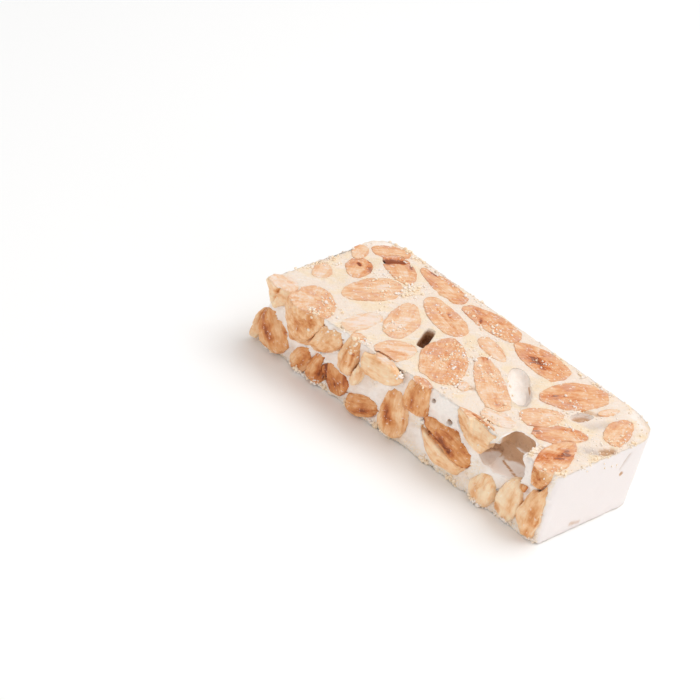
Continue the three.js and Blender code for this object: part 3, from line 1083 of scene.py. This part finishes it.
def almond_finish():
    material, shader, place = new_finish("toasted_almond")
    kernel = place.read("kernel", "Vector")
    sawn, toast, mark, rim = map(place.read, ("sawn", "toast", "mark", "rim"))
    fibres = kernel.noise(1.1, 4, 0.6, (0.12, 1, 1))
    fine = kernel.noise(0.45, 3, 0.6, (0.25, 1, 1))
    patches = kernel.noise(3.2, 3)
    specks = place.noise(0.9 * MM, 2, 0.6)
    streaks = place.turned(-SAW_ANGLE).noise(0.9 * MM, 4, 0.65, (0.12, 1, 1))

    doneness = toast + (patches - 0.5) * 1.05 + (fibres - 0.5) * 0.8 + (fine - 0.5) * 0.4
    # The marks hold brown cracks and toasting, and the painted shade of one facet.
    doneness = doneness + mark * 0.75 + (1 - rim.step(0.1, 0.9)) * sawn * 0.14 + sawn * 0.02
    doneness = doneness + (streaks - 0.5) * sawn * 1.1
    cut_colour = doneness.node("ShaderNodeValToRGB", {"stops": SAWN_STOPS}, {"Fac": doneness}, "Color")
    torn_colour = doneness.node("ShaderNodeValToRGB", {"stops": BROKEN_STOPS}, {"Fac": doneness}, "Color")
    dust = streaks.step(0.54, 0.7) * 0.5 + specks.step(0.58, 0.68) * 0.8 + patches.step(0.52, 0.7) * 0.3
    dust = dust + (1 - rim.step(0, 1.3)) * 0.15
    cut_colour = (dust * (1 - mark) * 0.75).mix(cut_colour, SAWN_CREAM)
    torn_colour = (specks.step(0.64, 0.7) * 0.5).mix(torn_colour, SUGAR_WHITE)
    colour = sawn.mix(torn_colour, cut_colour)

    relief = fibres * 0.7 + fine * 0.5 + streaks * sawn * 0.6
    roughness = 0.46 + sawn * 0.26 + (fine - 0.5) * 0.2
    connect(shader, Base_Color=colour, Roughness=roughness, Normal=relief.bump(BUMP, BUMP_HEIGHT))
    connect(shader, Subsurface_Weight=0.12, Subsurface_Radius=(1.0, 0.7, 0.45), Subsurface_Scale=1.0 * MM)
    return material


toasted = almond_finish()
print("almond finish has", len(toasted.node_tree.nodes), "nodes")

# %% Put the almonds in place
for node, mesh in rounded.items():
    mesh.materials.clear()
    mesh.materials.append(toasted)
    finished_piece(node.replace("almond_", "kernel_"), mesh, [node])
print("almonds finished")

# %% [markdown]
# ## Crumbs
# The saw leaves crumbs of nougat on the sliced face, and the broken lower edge is a fringe of them. A
# scatter of linked objects would be lighter, but each crumb is a small uneven lump of its own here, and
# all of them are joined in one mesh. Each drops from its own place until it meets the bar.

# %% Where crumbs fall from
CRUMBS_ON_TOP, CRUMBS_ON_EDGE = 1100, 800
DROP = 3  # how far above the sawn face a crumb starts
HEAPS = [  # place seen from above, how far they spread, how many
    ((-15.6, -24.0), (0.9, 1.2), 45),
    ((-31.2, -24.6), (1.0, 0.8), 30),
    ((39.4, -17.5), (0.5, 1.8), 45),
    ((51.2, -12), (0.6, 3.5), 60),
    ((52.4, 2), (0.5, 4.5), 50),
    ((49.5, -19), (1.2, 0.8), 30),
    ((33, 19.6), (6, 0.5), 40),
    ((-34, 21.2), (5, 0.6), 40),
    ((-47, -4), (0.8, 5), 50),
    ((-24, 8), (1.5, 3), 40),
    ((-0.6, -23.2), (0.5, 0.6), 30),
]


def crowded(tries, crowd, count):
    """The tries that stand where crumbs crowd most."""
    return tries[np.argsort(-crowd)[:count]]


def crumb_sources(rng):
    """Where each crumb starts, which way it falls, and its usual size as a logarithm."""
    tries = np.column_stack([
        rng.uniform(LOW[0] + 1, HIGH[0] - 1, CRUMBS_ON_TOP * 4),
        rng.uniform(LOW[1] + 0.5, HIGH[1] - 0.4, CRUMBS_ON_TOP * 4),
        np.full(CRUMBS_ON_TOP * 4, TOP + DROP),
    ])
    crowd = grain(tries, 8, 60) + 0.9 * step(tries[:, 0], HIGH[0] - 9, HIGH[0] - 4)
    crowd += 0.9 * step(tries[:, 1], HIGH[1] - 4, HIGH[1] - 2) + rng.uniform(-0.5, 0.5, len(tries))
    on_top = crowded(tries, crowd, CRUMBS_ON_TOP)
    heaps = [
        np.column_stack([rng.normal(middle, spread, (count, 2)), np.full(count, TOP + DROP)]) + ORIGIN
        for middle, spread, count in HEAPS
    ]
    tries = np.column_stack([
        rng.uniform(LOW[0] + 1, HIGH[0] - 4, CRUMBS_ON_EDGE * 3),
        np.full(CRUMBS_ON_EDGE * 3, LOW[1] - 4),
        np.abs(rng.normal(0, 0.9, CRUMBS_ON_EDGE * 3)) + 0.1,
    ])
    crowd = grain(tries * (1, 0, 0), 2.6, 61) + rng.uniform(-0.4, 0.4, len(tries))
    on_edge = crowded(tries, crowd, CRUMBS_ON_EDGE)
    down, inwards = (0, 0, -1.0), (0, 1.0, 0)
    sources = [(place, down, -1.55) for place in on_top]
    sources += [(place, down, -1.1) for heap in heaps for place in heap]
    return sources + [(place, inwards, -1.35) for place in on_edge]


crumb_rng = np.random.default_rng(17)
crumb_starts = crumb_sources(crumb_rng)
print(len(crumb_starts), "crumbs to drop")

# %% Drop the crumbs
LARGEST_CRUMB = 0.55
REACH = 9  # how far a crumb falls at most


def plain_lump():
    """The points and the facets of a coarse ball."""
    mesh = ball_mesh("crumb_seed", 1)
    unit = coordinates(mesh)
    facets = np.array([list(face.vertices) for face in mesh.polygons])
    bpy.data.meshes.remove(mesh)
    return unit, facets


def crumb_mesh(sources, rng):
    """All the crumbs, in millimetres."""
    unit, facets = plain_lump()
    nougat_tree = search_tree([nougat], 1 / MM)
    placed, faces = [], []
    for origin, way, usual in sources:
        hits = [tree.ray_cast(Vector(origin), Vector(way), REACH) for tree in (nougat_tree, almond_tree)]
        hits = [hit for hit in hits if hit[0] is not None]
        size = min(rng.lognormal(usual, 0.5), LARGEST_CRUMB)
        if not hits:
            continue
        ground = np.array(min(hits, key=lambda hit: hit[3])[0])
        lump = unit * rng.uniform(0.6, 1.2, 3) * size * rng.uniform(0.75, 1.2, (len(unit), 1))
        spin = np.array(Matrix.Rotation(rng.uniform(0, 6.28), 3, Vector(rng.normal(size=3)).normalized()))
        lump = lump @ spin.T + (ground - np.array(way) * size * 0.35)
        lump[:, 2] = np.maximum(lump[:, 2], 0)
        faces.append(facets + len(placed) * len(unit))
        placed.append(lump)
    mesh = bpy.data.meshes.new("nougat_crumbs")
    mesh.from_pydata(np.vstack(placed), [], np.vstack(faces))
    mesh.update()
    return mesh


crumbs = crumb_mesh(crumb_starts, crumb_rng)
print("crumb faces", len(crumbs.polygons))

# %% Finish the crumbs


def crumb_finish():
    material, shader, place = new_finish("nougat_crumbs")
    patches = place.noise(3 * MM, 2)
    colour = patches.step(0.36, 0.6).mix(SUGAR_WHITE, CRUMB_CREAM)
    bump = place.noise(0.3 * MM, 2).bump(0.4, 0.1 * MM)
    connect(shader, Base_Color=colour, Roughness=0.65 + patches * 0.2, Normal=bump)
    return material


crumbs.materials.append(crumb_finish())
finished_piece("nougat_crumbs", crumbs)
print("crumbs finished")

# %% [markdown]
# ## Table and light
# The bar lies on a plain white table in a bright soft room. A large soft lamp above the right end makes
# the moulded end the brightest side and leaves the broken side in a light shade.

# %% Lay the floor


def make_floor():
    mesh = bpy.data.meshes.new("floor")
    far = 3
    mesh.from_pydata([(-far, -far, 0), (far, -far, 0), (far, far, 0), (-far, far, 0)], [], [(0, 1, 2, 3)])
    floor = new_object("floor", mesh)
    material, shader, place = new_finish("white_table")
    shade = place.noise(0.4, 1).mix(tint(250, 250, 250), tint(253, 253, 253))
    connect(shader, Base_Color=shade, Roughness=0.7)
    mesh.materials.append(material)


make_floor()
print("floor laid")

# %% Hang the lamps
MIDDLE = (0, 0, 0.01)  # of the bar, in metres


def hang_lamp(name, place, size, power):
    """A square soft lamp, in metres, that points at the middle of the bar."""
    light = bpy.data.lights.new(name, "AREA")
    light.size = size
    light.energy = power
    lamp = new_object(name, light)
    lamp.location = place
    lamp.rotation_euler = (Vector(MIDDLE) - Vector(place)).to_track_quat("-Z", "Y").to_euler()


hang_lamp("key", (0.2, 0.3, 0.8), 0.6, 4.4)
hang_lamp("fill", (0.8, -0.25, 0.25), 0.5, 0.9)
hang_lamp("front", (-0.35, -0.8, 0.35), 0.5, 1.3)
world = bpy.data.worlds.new("bright_room")
world.use_nodes = True
connect(world.node_tree.nodes["Background"], Color=(1, 0.995, 0.985, 1), Strength=0.56)
bpy.context.scene.world = world
bpy.context.scene.view_settings.view_transform = "Standard"
print("lamps ready")
